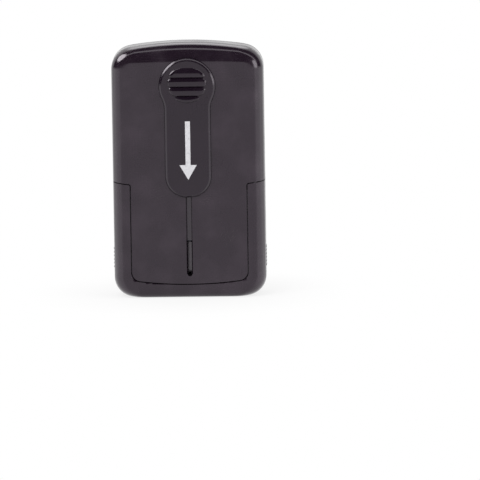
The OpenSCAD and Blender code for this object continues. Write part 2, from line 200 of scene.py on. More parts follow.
class Finish(Graph):
    """The node tree of one finish, with its Principled shader."""

    upright_edges: Span = (0.7, 0.76)
    level_edges: Span = (0.72, 0.78)
    patch_size: float = 12 * MM
    patch_edges: Span = (0.45, 0.65)

    def __init__(self, name: str) -> None:
        """Makes the finish's material.

        Args:
            name: the material's name.
        """
        self.material = bpy.data.materials.new(name)
        self.material.use_nodes = True
        super().__init__(self.material.node_tree)

    def hairs(self, along: float, across: float) -> Socket:
        """Sparse hair scratches that run along Z and along X.

        Args:
            along: length of a scratch.
            across: width of a scratch.

        Returns:
            1 on a scratch and 0 beside it.
        """
        upright = self.noise(self.place((1 / across, 1 / across, 1 / along)), 1.0, 0.0)
        level = self.noise(self.place((1 / along, 1 / across, 1 / across)), 1.0, 0.0)
        lines = self.between(upright, *self.upright_edges).larger(self.between(level, *self.level_edges))
        return lines * self.between(self.noise(self.place(), self.patch_size, 1.0), *self.patch_edges)

    def done(self, colour: Socket, roughness: Any, relief: Socket, depth: float,
             constants: dict[str, Any] | None = None) -> Material:
        """Closes the tree with its shader.

        Args:
            colour: base colour.
            roughness: roughness.
            relief: height of the surface from 0 to 1.
            depth: real height of the relief.
            constants: shader values that are the same all over.

        Returns:
            The material.
        """
        bump = self.node("ShaderNodeBump", {"Height": relief, "Distance": depth})
        sockets = {"Base Color": colour, "Roughness": roughness, "Normal": bump, **(constants or {})}
        shader = self.node("ShaderNodeBsdfPrincipled", sockets)
        self.node("ShaderNodeOutputMaterial", {"Surface": shader})
        return self.material


@dataclass(frozen=True)
class Scuff:
    """A faint handling mark on the front face."""

    place: Triple
    reach: float
    lean: float
    length: float
    width: float
    edges: Span = (0.56, 0.66)
    core: float = 0.3

    def mark(self, finish: Finish) -> Socket:
        """Strokes of the mark.

        Args:
            finish: the finish that carries it.

        Returns:
            1 on a stroke and 0 beside it.
        """
        turned = finish.mapped(finish.place(), Rotation=(0, self.lean, 0))
        drawn = finish.mapped(turned, Scale=(1 / self.length, 1 / self.width, 1 / self.width))
        away = finish.vector("DISTANCE", finish.place(), self.place)
        fade = 1 - finish.between(away, self.core * self.reach, self.reach)
        return finish.between(finish.noise(drawn, 1.0, 1.0), *self.edges) * fade


@dataclass(frozen=True)
class Surface:
    """A finish that varies between two colours."""

    name: str
    colour: Triple
    second: Triple


@dataclass(frozen=True)
class MouldedPlastic(Surface):
    """Moulded plastic with cloudy handling marks, hair scratches and a moulding grain.

    rough is the least roughness and what clouds and scratches add, and grain is its size and depth.
    """

    rough: Triple
    grain: Span
    shine: float = 0.5
    scuffs: tuple[Scuff, ...] = ()
    cloud: float = 9 * MM
    cloud_edges: Span = (0.4, 0.75)
    hair: Span = (9 * MM, 0.09 * MM)
    shares: Span = (0.6, 0.4)
    mark_share: float = 0.3
    sheen: Triple = (1.0, 0.92, 1.0)
    rubbed: Triple = (0.075, 0.066, 0.072)

    def material(self) -> Material:
        """Makes the plastic.

        Returns:
            The material.
        """
        finish = Finish(self.name)
        clouds = finish.between(finish.noise(finish.place(), self.cloud, 3.0), *self.cloud_edges)
        hairs = finish.hairs(*self.hair)
        grain = finish.noise(finish.place(), self.grain[0])
        colour = finish.tint(clouds * self.shares[0] + hairs * self.shares[1], self.colour, self.second)
        for scuff in self.scuffs:
            mark = scuff.mark(finish)
            colour = finish.tint(mark * self.mark_share, colour, self.rubbed)
            hairs = hairs.larger(mark)
        roughness = self.rough[0] + clouds * self.rough[1] + hairs * self.rough[2]
        constants = {"Specular IOR Level": self.shine, "Specular Tint": (*self.sheen, 1.0)}
        return finish.done(colour, roughness, grain, self.grain[1], constants)


@dataclass(frozen=True)
class DrawnSteel(Surface):
    """Drawn wire with fine lines and a little tarnish."""

    patch: float = 1.6 * MM
    edges: Span = (0.45, 0.75)
    line: float = 1.2 * MM
    stretch: Triple = (1.0, 14.0, 14.0)
    rough: Triple = (0.22, 0.15, 0.1)
    depth: float = 0.004 * MM

    def material(self) -> Material:
        """Makes the steel.

        Returns:
            The material.
        """
        finish = Finish(self.name)
        patches = finish.between(finish.noise(finish.place(), self.patch, 3.0), *self.edges)
        lines = finish.noise(finish.place(self.stretch), self.line, 1.0)
        colour = finish.tint(patches, self.colour, self.second)
        roughness = self.rough[0] + patches * self.rough[1] + lines * self.rough[2]
        return finish.done(colour, roughness, lines, self.depth, {"Metallic": 1.0})


@dataclass(frozen=True)
class LinerPaper(Surface):
    """Matte coated paper with pale and dark fibres."""

    fibre: float = 1.1 * MM
    stretch: Triple = (1.0, 1.0, 5.0)
    mottle: float = 6 * MM
    shares: Span = (0.7, 0.3)
    edges: Span = (0.45, 0.8)
    rough: Span = (0.62, 0.2)
    depth: float = 0.012 * MM

    def material(self) -> Material:
        """Makes the paper.

        Returns:
            The material.
        """
        finish = Finish(self.name)
        fibres = finish.noise(finish.place(self.stretch), self.fibre, 4.0)
        pattern = fibres * self.shares[0] + finish.noise(finish.place(), self.mottle) * self.shares[1]
        colour = finish.tint(finish.between(pattern, *self.edges), self.colour, self.second)
        return finish.done(colour, self.rough[0] + fibres * self.rough[1], fibres, self.depth)


@dataclass(frozen=True)
class CellFoam(Surface):
    """Closed-cell foam with fine cells, whose middles have the second colour."""

    cell: float = 0.16 * MM
    edges: Span = (0.2, 0.8)
    rough: float = 0.85
    depth: float = 0.03 * MM

    def material(self) -> Material:
        """Makes the foam.

        Returns:
            The material.
        """
        finish = Finish(self.name)
        cells = finish.cells(finish.place(), self.cell)
        colour = finish.tint(finish.between(cells, *self.edges), self.second, self.colour)
        return finish.done(colour, self.rough, cells, self.depth)


@dataclass(frozen=True)
class InkCloth(Surface):
    """Plain-woven cloth that is soaked with ink."""

    pitch: float = 0.5 * MM
    patch: float = 5 * MM
    wet_edges: Span = (0.35, 0.7)
    shares: Span = (0.6, 0.4)
    edges: Span = (0.1, 1.0)
    rough: Span = (0.75, -0.3)
    depth: float = 0.06 * MM
    sheen: float = 0.08

    def material(self) -> Material:
        """Makes the cloth.

        Returns:
            The material.
        """
        finish = Finish(self.name)
        x, _, z = finish.parts(finish.place())
        turn = math.pi / self.pitch
        over = (x * turn).sine() * (z * turn).sine()
        wet = finish.between(finish.noise(finish.place(), self.patch, 3.0), *self.wet_edges)
        pattern = over.size() * self.shares[0] + wet * self.shares[1]
        colour = finish.tint(finish.between(pattern, *self.edges), self.colour, self.second)
        roughness = self.rough[0] + wet * self.rough[1]
        return finish.done(colour, roughness, over * 0.5 + 0.5, self.depth, {"Sheen Weight": self.sheen})


@dataclass(frozen=True)
class WoolFelt(Surface):
    """Pressed felt with matted fibres."""

    fibre: float = 0.5 * MM
    stretch: Triple = (1.0, 4.0, 1.0)
    edges: Span = (0.4, 0.7)
    rough: float = 0.9
    depth: float = 0.1 * MM
    sheen: float = 0.3

    def material(self) -> Material:
        """Makes the felt.

        Returns:
            The material.
        """
        finish = Finish(self.name)
        fibres = finish.noise(finish.place(self.stretch), self.fibre, 5.0)
        colour = finish.tint(finish.between(fibres, *self.edges), self.colour, self.second)
        return finish.done(colour, self.rough, fibres, self.depth, {"Sheen Weight": self.sheen})


@dataclass(frozen=True)
class PadPrint(Surface):
    """Thin printed paint with worn, slightly uneven cover."""

    patch: float = 0.8 * MM
    edges: Span = (0.5, 0.85)
    rough: Span = (0.4, 0.2)
    depth: float = 0.005 * MM

    def material(self) -> Material:
        """Makes the paint.

        Returns:
            The material.
        """
        finish = Finish(self.name)
        thin = finish.between(finish.noise(finish.place(), self.patch, 4.0), *self.edges)
        colour = finish.tint(thin, self.colour, self.second)
        return finish.done(colour, self.rough[0] + thin * self.rough[1], thin, self.depth)


class Finishes:
    """All finishes of the stamp, made once."""

    def __init__(self) -> None:
        """Makes the materials."""
        face_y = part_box("front_shell")[0].y
        scuffs = (Scuff((-9 * MM, face_y, 31.5 * MM), 4.5 * MM, 0.35, 2.4 * MM, 0.35 * MM),
                  Scuff((12 * MM, face_y, 18.5 * MM), 4 * MM, 1.15, 1.6 * MM, 0.22 * MM),
                  Scuff((5.5 * MM, face_y, 30 * MM), 3 * MM, 0.0, 0.4 * MM, 0.3 * MM))
        polish, fine, satin = (1.4 * MM, 0.002 * MM), (0.35 * MM, 0.006 * MM), (0.3 * MM, 0.008 * MM)
        self.gloss_black = MouldedPlastic("gloss black", (0.0142, 0.0084, 0.0145), (0.0392, 0.0285, 0.039),
                                          (0.12, 0.1, 0.25), polish, scuffs=scuffs).material()
        self.slider_black = MouldedPlastic("slider black", (0.0085, 0.0045, 0.0092),
                                           (0.0185, 0.0118, 0.0195), (0.12, 0.1, 0.2), polish,
                                           shine=0.45).material()
        self.frame_black = MouldedPlastic("frame black", (0.0145, 0.0095, 0.0155), (0.0245, 0.018, 0.0255),
                                          (0.13, 0.1, 0.15), fine, shine=0.74).material()
        self.plate_violet = MouldedPlastic("plate violet", (0.062, 0.05, 0.066), (0.085, 0.07, 0.09),
                                           (0.16, 0.12, 0.15), satin, shine=1.0).material()
        self.tray_grey = MouldedPlastic("tray grey", (0.05, 0.045, 0.05), (0.075, 0.07, 0.075),
                                        (0.38, 0.12, 0.15), satin).material()
        self.steel = DrawnSteel("steel wire", (0.72, 0.72, 0.74), (0.5, 0.49, 0.48)).material()
        # Steel for the plate's pivot pin, painted dark as shade so that the pin shows no glint in the slot.
        self.shade_darkened = DrawnSteel("blued steel", (0.07, 0.07, 0.08), (0.035, 0.033, 0.035)).material()
        self.liner = LinerPaper("yellow liner", (0.93, 0.63, 0.25), (0.98, 0.72, 0.34)).material()
        self.foam = CellFoam("adhesive foam", (0.8, 0.62, 0.36), (0.6, 0.44, 0.24)).material()
        self.cover = InkCloth("ink cover", (0.018, 0.011, 0.07), (0.034, 0.022, 0.13)).material()
        self.felt = WoolFelt("ink felt", (0.012, 0.009, 0.045), (0.03, 0.022, 0.09)).material()
        self.print_white = PadPrint("white print", (0.7, 0.69, 0.72), (0.5, 0.49, 0.52)).material()


def only(kind: type, items: list[Any]) -> list[Any]:
    """The items of one kind."""
    return [item for item in items if isinstance(item, kind)]


def leg(slope: float, side: float) -> float:
    """Third side of a right-angled triangle, or 0 where its other short side is too long."""
    return math.sqrt(max(0.0, slope ** 2 - side ** 2))


def rounded(form: Form, edges: list[Edge], width: float, segments: int) -> None:
    """Rounds edges over a width, with a number of faces across."""
    bmesh.ops.bevel(form, geom=edges, offset=width, offset_type="OFFSET", affect="EDGES", segments=segments,
                    profile=0.5, material=-1, clamp_overlap=True)


def sharp_edges(form: Form, turn: float) -> list[Edge]:
    """Edges at which the surface turns by more than an angle."""
    form.normal_update()
    return [edge for edge in form.edges if edge.is_manifold and edge.calc_face_angle() > turn]


def thickened(form: Form, depth: float) -> None:
    """Extrudes all faces of a flat form along Y into a closed solid.

    Args:
        form: the flat mesh.
        depth: how far, towards +Y.
    """
    grown = bmesh.ops.extrude_face_region(form, geom=form.faces[:], use_keep_orig=True)
    bmesh.ops.translate(form, verts=only(Point, grown["geom"]), vec=(0.0, depth, 0.0))
    bmesh.ops.recalc_face_normals(form, faces=form.faces[:])


def raised(form: Form, ring: list[Edge], rise: float) -> list[Edge]:
    """Extrudes a ring of edges along Z.

    Args:
        form: the mesh.
        ring: the edges.
        rise: how far up.

    Returns:
        The new ring.
    """
    grown = bmesh.ops.extrude_edge_only(form, edges=ring)["geom"]
    verts = set(only(Point, grown))
    bmesh.ops.translate(form, verts=list(verts), vec=(0, 0, rise))
    return [edge for edge in only(Edge, grown) if set(edge.verts) <= verts]


def joined(target: Form, *added: Form) -> None:
    """Puts meshes into another and frees them.

    Args:
        target: the mesh that grows.
        added: the meshes that are put in.
    """
    for form in added:
        holder = bpy.data.meshes.new("joined")
        form.to_mesh(holder)
        form.free()
        target.from_mesh(holder)
        bpy.data.meshes.remove(holder)


def made(operator: Any, **settings: Any) -> Form:
    """A new mesh by one of bmesh's operators.

    Args:
        operator: the operator.
        settings: its settings.

    Returns:
        The mesh.
    """
    form = bmesh.new()
    operator(form, **settings)
    return form


def block(low: Any, high: Any) -> Form:
    """A box from its lowest to its highest corner."""
    place = Matrix.LocRotScale((Vector(low) + Vector(high)) / 2, None, Vector(high) - Vector(low))
    return made(bmesh.ops.create_cube, size=1.0, matrix=place)


def rod(radius: float, length: float, segments: int, place: Matrix) -> Form:
    """A closed cylinder, upright where its place does not turn it."""
    return made(bmesh.ops.create_cone, cap_ends=True, segments=segments, radius1=radius, radius2=radius,
                depth=length, matrix=place)


def placed(name: str, form: Form) -> bpy.types.Object:
    """Makes a scene object.

    Args:
        name: the object's name.
        form: its mesh, freed here.

    Returns:
        The object.
    """
    mesh = bpy.data.meshes.new(name)
    form.to_mesh(mesh)
    form.free()
    item = bpy.data.objects.new(name, mesh)
    bpy.context.scene.collection.objects.link(item)
    return item


class Outline:
    """A line in the XZ plane that grows from its last point by straight runs and arcs."""

    merge_gap: float = 0.01 * MM
    weld_gap: float = 0.001 * MM

    def __init__(self, x: float, z: float) -> None:
        """Starts the line at a point."""
        self.form = bmesh.new()
        self.tip = self.form.verts.new((x, 0.0, z))

    def run(self, x: float, z: float) -> Outline:
        """Adds a straight run to a point.

        Args:
            x: place across.
            z: height.

        Returns:
            The outline.
        """
        self.tip = bmesh.ops.extrude_vert_indiv(self.form, verts=[self.tip])["verts"][0]
        self.tip.co = (x, 0.0, z)
        return self

    def arc(self, x: float, z: float, degrees: float, steps: int) -> None:
        """Adds an arc in straight steps round a centre, clockwise as seen from the front."""
        turned = bmesh.ops.spin(self.form, geom=[self.tip], cent=(x, 0.0, z), axis=(0, 1, 0),
                                angle=math.radians(degrees), steps=steps, use_duplicate=False)
        self.tip = only(Point, turned["geom_last"])[0]

    def mirrored(self) -> Form:
        """Closes the line with its mirror image across X = 0.

        Returns:
            The closed loop of edges.
        """
        form = self.form
        bmesh.ops.mirror(form, geom=form.verts[:] + form.edges[:], matrix=Matrix.Identity(4),
                         merge_dist=self.merge_gap, axis="X")
        bmesh.ops.remove_doubles(form, verts=form.verts[:], dist=self.weld_gap)
        return form

    def prism(self, near: float, far: float) -> Form:
        """Fills the line and its mirror image, and gives them depth.

        Args:
            near: depth of the front.
            far: depth of the back.

        Returns:
            The closed form.
        """
        form = self.mirrored()
        bmesh.ops.contextual_create(form, geom=form.edges[:])
        bmesh.ops.translate(form, verts=form.verts[:], vec=(0, near, 0))
        thickened(form, far - near)
        return form


@dataclass(frozen=True)
class Shop:
    """Turns finished forms into pieces that ride on their bodies."""

    sharp_angle: float = math.radians(38)
    weld_gap: float = 0.003 * MM

    def piece(self, name: str, form: Form, body: Body, slot: Slot, material: Material,
              replaces: str | None = None) -> bpy.types.Object:
        """Makes one piece.

        Args:
            name: the piece's name.
            form: its mesh, freed here.
            body: the body that it rides on.
            slot: the record's material slot; not used.
            material: its finish.
            replaces: the CAD node that it stands for.

        Returns:
            The piece.
        """
        item = placed(name, form)
        item.data.materials.append(material)
        item.data.shade_smooth()
        item.data.set_sharp_from_angle(angle=self.sharp_angle)
        level = item.modifiers.new("level faces", "WEIGHTED_NORMAL")
        level.keep_sharp = True
        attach(item, body.value)
        if replaces:
            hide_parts(replaces)
        log.info("%s: %d faces on %s", name, len(item.data.polygons), body.value)
        return item

    def cut(self, form: Form, cutter: Form, operation: str) -> Form:
        """Cuts one closed form with another.

        Args:
            form: the form, freed here.
            cutter: the cutter, freed here.
            operation: the Boolean modifier's operation.

        Returns:
            The cut form's mesh.
        """
        pair = (placed("worked", form), placed("cutter", cutter))
        knife = pair[0].modifiers.new("cut", "BOOLEAN")
        knife.operation = operation
        knife.solver = "EXACT"
        knife.object = pair[1]
        bpy.context.view_layer.update()
        shaped = pair[0].evaluated_get(bpy.context.evaluated_depsgraph_get())
        result = bmesh.new()
        result.from_mesh(shaped.to_mesh())
        shaped.to_mesh_clear()
        for item in pair:
            mesh = item.data
            bpy.data.objects.remove(item)
            bpy.data.meshes.remove(mesh)
        bmesh.ops.remove_doubles(result, verts=result.verts[:], dist=self.weld_gap)
        return result

    def dress(self, material: Material, *nodes: str) -> None:
        """Gives CAD nodes a finish.

        Args:
            material: the finish.
            nodes: the nodes' names.
        """
        for node in nodes:
            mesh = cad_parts[node].data
            mesh.materials.clear()
            mesh.materials.append(material)
            log.info("%s: dressed", node)


@dataclass(frozen=True)
class Level:
    """One ring of the case's form."""

    middle_z: float
    end_z: float
    half_w: float
    half_t: float


@dataclass
class CaseForm:
    """The closed stamp's outer form, grown ring by ring from its foot to its arched top."""

    edge_r: float = 5.5 * MM
    top_r: float = 6.7 * MM
    crown_r: float = 110 * MM
    foot_r: float = 6 * MM
    foot_edge: float = 2.5 * MM
    round_steps: int = 10
    face_cuts: int = 17
    foot_steps: int = 10
    top_steps: int = 26
    stack: float = 1 * MM
    weld_gap: float = 0.002 * MM

    def __post_init__(self) -> None:
        """Takes the overall sizes from the CAD nodes."""
        self.half_w, self.half_t, self.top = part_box("back_shell")[1]
        self.flat = self.half_t - self.edge_r
        self.lean = math.asin((self.half_w - self.top_r) / (self.crown_r - self.top_r))
        self.corner_z = self.top - self.crown_r + (self.crown_r - self.top_r) * math.cos(self.lean)

    def levels(self, inset: float) -> list[Level]:
        """The rings of the form, drawn in on every side.

        Args:
            inset: how far the form is drawn in.

        Returns:
            The rings from the foot to the top, each end closed by a ring without thickness.
        """
        rings = []
        reach = self.foot_r - inset
        for step in range(self.foot_steps + 1):
            turn = QUARTER * step / self.foot_steps
            z = self.foot_r - reach * math.cos(turn)
            half_t = self.half_t - self.foot_edge + leg(self.foot_edge - inset, max(0.0, self.foot_edge - z))
            rings.append(Level(z, z, self.half_w - self.foot_r + reach * math.sin(turn), half_t))
        rise = self.top - inset - self.corner_z
        shoulder = self.top - self.edge_r
        reach = self.top_r - inset
        for step in range(self.top_steps + 1):
            turn = (QUARTER - self.lean) * step / self.top_steps
            middle = self.corner_z + rise * math.sin(turn) / math.cos(self.lean)
            half_t = self.flat + leg(self.edge_r - inset, max(0.0, middle - shoulder))
            rings.append(Level(middle, self.corner_z + reach * math.sin(turn),
                               self.half_w - self.top_r + reach * math.cos(turn), half_t))
        return [replace(rings[0], half_t=0.0), *rings, replace(rings[-1], half_t=0.0)]

    def solid(self, inset: float) -> Form:
        """Grows the closed form.

        Args:
            inset: how far the form is drawn in.

        Returns:
            The form's mesh.
        """
        half_w, half_t = self.half_w - inset, self.half_t - inset
        form = made(bmesh.ops.create_grid, x_segments=1, y_segments=1, size=1.0,
                    matrix=Matrix.Diagonal((half_w, half_t, 1, 1)))
        bmesh.ops.bevel(form, geom=form.verts[:], offset=self.edge_r - inset, offset_type="OFFSET",
                        affect="VERTICES", segments=self.round_steps, profile=0.5, material=-1)
        bmesh.ops.delete(form, geom=form.faces[:], context="FACES_ONLY")
        long_edges = [edge for edge in form.edges if edge.calc_length() > half_w]
        bmesh.ops.subdivide_edges(form, edges=long_edges, cuts=self.face_cuts)
        rings = self.levels(inset)
        ring = form.edges[:]
        for _ in rings[1:]:
            ring = raised(form, ring, self.stack)
        for vert in form.verts:
            self.settle(vert, rings[round(vert.co.z / self.stack)], half_w, half_t)
        bmesh.ops.remove_doubles(form, verts=form.verts[:], dist=self.weld_gap)
        bmesh.ops.recalc_face_normals(form, faces=form.faces[:])
        return form

    def settle(self, vert: Point, level: Level, half_w: float, half_t: float) -> None:
        """Moves a point of the straight stack to its place on a ring.

        Args:
            vert: the point.
            level: its ring.
            half_w: half the stack's width.
            half_t: half the stack's thickness.
        """
        share = vert.co.x / half_w
        depth = abs(vert.co.y)
        if level.half_t < self.flat:
            depth = 0.0
        elif depth > self.flat:
            depth = self.flat + (depth - self.flat) * (level.half_t - self.flat) / (half_t - self.flat)
        vert.co = (share * level.half_w, math.copysign(depth, vert.co.y),
                   level.middle_z - (level.middle_z - level.end_z) * share ** 2)

    def hollow(self, outer: float, inner: float) -> Form:
        """The form's wall.

        Args:
            outer: inset of the wall's outside.
            inner: inset of its inside.

        Returns:
            The wall's mesh.
        """
        form = self.solid(outer)
        inside = self.solid(inner)
        bmesh.ops.reverse_faces(inside, faces=inside.faces[:])
        joined(form, inside)
        return form


@dataclass
class Assembly:
    """What every sub-assembly is made with."""

    finishes: Finishes
    shop: Shop


@dataclass
class Case(Assembly):
    """The cap and the two shells as smooth forms, and the finishes of the CAD pieces that stay."""

    shape: CaseForm
    shell_wall: float = 1.2 * MM
    cap_wall: float = 1.1 * MM
    seam: float = 0.3 * MM
    seam_fill: float = 0.9
    band_half: float = 2.7 * MM
    groove_w: float = 0.4 * MM
    groove_d: float = 0.35 * MM
    mouth_z: float = 35.4 * MM
    shoulder_drop: float = 0.5 * MM
    tongue_half: float = 17.5 * MM
    tongue_tip: float = 4.3 * MM
    tongue_r: float = 2.7 * MM
    root_r: float = 0.7 * MM
    bow_r: float = 120 * MM
    arc_steps: tuple[int, int, int] = (8, 14, 16)
    tray_half: float = 19.3 * MM
    tray_tip: float = 2.3 * MM
    slot_half: float = 0.92 * MM
    slot_draw: float = 0.3 * MM
    slot_end: float = 7.3 * MM
    slot_top: float = 38.3 * MM
    slot_hole: float = 0.72 * MM
    hole_sides: int = 32
    lip_drop: float = 1.2 * MM
    lip_gap: float = 0.08 * MM
    lip_t: float = 0.5 * MM
    far: float = 120 * MM
    rim_turn: float = math.radians(65)
    rim_r: float = 0.13 * MM
    rim_steps: int = 2
    rib_r: float = 0.4 * MM
    rib_pitch: float = 1.1 * MM
    rib_low: float = 9 * MM
    rib_half: float = 2.4 * MM
    rib_count: int = 6
    rib_cells: tuple[int, int] = (12, 8)
    rib_waist: float = 0.001 * MM
    knuckle_r: float = 1.4 * MM
    knuckle_edge: float = 0.15 * MM
    knuckle_sides: int = 40
    lug_in: float = 10.2 * MM
    lug_len: float = 4.4 * MM
    lug_rise: float = 5 * MM

    def build(self) -> None:
        """Makes the cap and the shells, and dresses the CAD pieces."""
        coats = self.finishes
        for name, form, body, node in (("cap_shell", self.cap(), Body.CAP, "end_cap"),
                                       ("case_front", self.front(), Body.CASE, "front_shell"),
                                       ("case_back", self.back(), Body.CASE, "back_shell")):
            self.shop.piece(name, form, body, Slot.GLOSS_BLACK, coats.gloss_black, node)
        self.shop.dress(coats.frame_black, "inner_frame", "slider_carriage", "slider_keeper", "plate_yoke")
        self.shop.dress(coats.steel, "tray_hinge_pin", "detent_spring")
        # The pivot pin's dark steel is painted shade, which hides its glint in the slot.
        self.shop.dress(coats.shade_darkened, "plate_pivot_pin")
        self.shop.dress(coats.tray_grey, "tray_holder", "pad_cassette")
        self.shop.dress(coats.plate_violet, "die_plate")

    def part(self, outer: float, inner: float, low: Triple, high: Triple) -> Form:
        """The part of a wall between two insets that lies in a box."""
        return self.shop.cut(self.shape.hollow(outer, inner), block(low, high), "INTERSECT")

    def rim_rounded(self, form: Form) -> None:
        """Breaks the sharp rims that the cuts leave."""
        rounded(form, sharp_edges(form, self.rim_turn), self.rim_r, self.rim_steps)

    def face_cut(self, grow: float, far: float) -> Form:
        """Block above the mouth with the bowed tongue below it.

        Args:
            grow: gap by which the tongue is grown.
            far: depth of the block's back.

        Returns:
            The block's mesh.
        """
        side = self.tongue_half - self.tongue_r
        lean = math.asin(side / (self.bow_r - self.tongue_r))
        bow_z = self.tongue_tip + self.bow_r
        corner_z = bow_z - (self.bow_r - self.tongue_r) * math.cos(lean)
        root_x = self.tongue_half + self.root_r
        root_z = self.mouth_z - self.shoulder_drop
        line = Outline(0.0, self.far)
        line.run(self.far, self.far).run(self.far, self.mouth_z - grow)
        line.run(self.shape.half_w + self.seam, self.mouth_z - grow).run(root_x, root_z - grow)
        line.arc(root_x, root_z - self.root_r, -90, self.arc_steps[0])
        line.run(self.tongue_half + grow, corner_z)
        line.arc(side, corner_z, 90 - math.degrees(lean), self.arc_steps[1])
        line.arc(0.0, bow_z, math.degrees(lean), self.arc_steps[2])
        return line.prism(-self.far, far)

    def back_cut(self) -> Form:
        """Block above the mouth with the tray's opening below it.

        Returns:
            The block's mesh.
        """
        rim = self.mouth_z - self.seam
        line = Outline(0.0, self.far)
        line.run(self.far, self.far).run(self.far, rim).run(self.tray_half, rim)
        line.run(self.tray_half, self.tray_tip).run(0.0, self.tray_tip)
        return line.prism(0.0, self.far)

    def cap(self) -> Form:
        """The end cap with its grip ribs.

        Returns:
            The cap's mesh.
        """
        form = self.shape.hollow(0.0, self.cap_wall)
        for cutter in (self.face_cut(self.seam, self.seam), self.back_cut()):
            form = self.shop.cut(form, cutter, "DIFFERENCE")
        self.rim_rounded(form)
        heights = [self.rib_low + rib * self.rib_pitch for rib in range(self.rib_count)]
        joined(form, *(self.rib(side, z) for side in SIDES for z in heights))
        return form

    def rib(self, side: int, z: float) -> Form:
        """One half-round grip rib with round ends.

        Args:
            side: -1 on the left, 1 on the right.
            z: its height.

        Returns:
            The rib's mesh.
        """
        form = made(bmesh.ops.create_uvsphere, u_segments=self.rib_cells[0], v_segments=self.rib_cells[1],
                    radius=self.rib_r, matrix=Matrix.Rotation(QUARTER, 4, "X"))
        for vert in form.verts:
            if abs(vert.co.y) > self.rib_waist:
                vert.co.y += math.copysign(self.rib_half - self.rib_r, vert.co.y)
        place = (side * (self.shape.half_w - self.rib_r / 2), 0, z)
        bmesh.ops.translate(form, verts=form.verts[:], vec=place)
        return form

    def front(self) -> Form:
        """The front shell with its tongue and slot.

        Returns:
            The shell's mesh.
        """
        tongue = self.face_cut(0.0, -self.band_half - self.groove_w)
        form = self.shop.cut(self.shape.hollow(0.0, self.shell_wall), tongue, "INTERSECT")
        place = Matrix.Translation((0, -self.far / 2, self.slot_end)) @ Matrix.Rotation(QUARTER, 4, "X")
        for cutter in (self.slot(), rod(self.slot_hole, self.far, self.hole_sides, place)):
            form = self.shop.cut(form, cutter, "DIFFERENCE")
        self.rim_rounded(form)
        joined(form, self.rebate(-1), self.seam_band(), *map(self.lip, SIDES))
        return form

    def slot(self) -> Form:
        """Cutter of the slot, whose walls draw in towards the inside.

        Returns:
            The cutter's mesh.
        """
        face, reach = -self.shape.half_t, 2 * self.shell_wall
        form = block((-self.slot_half, face - reach, self.slot_end),
                     (self.slot_half, face + reach, self.slot_top))
        for vert in form.verts:
            drawn = self.slot_draw * (vert.co.y - face) / self.shell_wall
            vert.co.x *= 1 - drawn / self.slot_half
        return form

    def seam_band(self) -> Form:
        """Thin drawn-in band that closes the seam between the case and the cap."""
        low = (-self.far, -self.far, self.mouth_z - self.seam * self.seam_fill)
        return self.part(self.groove_d, self.shell_wall, low, (self.far, self.far, self.mouth_z))

    def lip(self, side: int) -> Form:
        """Thin lip inside the mouth that stands behind the seam beside the tongue.

        Args:
            side: -1 on the left, 1 on the right.

        Returns:
            The lip's mesh.
        """
        near, far = sorted((side * self.tongue_half, side * self.far))
        outer = self.shell_wall + self.lip_gap
        return self.part(outer, outer + self.lip_t, (near, -self.far, self.mouth_z - self.lip_drop),
                         (far, -self.band_half - self.groove_w, self.mouth_z + self.lip_drop))

    def back(self) -> Form:
        """The back shell with the two lugs of the tray's hinge.

        Returns:
            The shell's mesh.
        """
        low = (-self.far, self.band_half + self.groove_w, self.mouth_z)
        form = self.part(0.0, self.shell_wall, low, (self.far, self.far, self.far))
        self.rim_rounded(form)
        joined(form, self.rebate(1), *map(self.lug, SIDES))
        return form

    def rebate(self, side: int) -> Form:
        """Thin drawn-in rim beside the frame's band, in front with side -1 and behind with 1."""
        near, far = sorted((side * self.band_half, side * (self.band_half + self.groove_w + self.groove_d)))
        return self.part(self.groove_d, self.shell_wall, (-self.far, near, self.mouth_z),
                         (self.far, far, self.far))

    def lug(self, side: int) -> Form:
        """One lug that carries the tray's hinge pin.

        Args:
            side: -1 on the left, 1 on the right.

        Returns:
            The lug's mesh.
        """
        pin = sum(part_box("tray_hinge_pin"), Vector()) / 2
        near, far = sorted((side * self.lug_in, side * (self.lug_in + self.lug_len)))
        place = Matrix.Translation(((near + far) / 2, pin.y, pin.z)) @ Matrix.Rotation(QUARTER, 4, "Y")
        form = rod(self.knuckle_r, self.lug_len, self.knuckle_sides, place)
        rounded(form, sharp_edges(form, self.rim_turn), self.knuckle_edge, self.rim_steps)
        low = (near, pin.y - self.knuckle_r, pin.z)
        high = (far, self.shape.half_t - self.shell_wall / 2, self.mouth_z + self.lug_rise)
        joined(form, block(low, high))
        return form


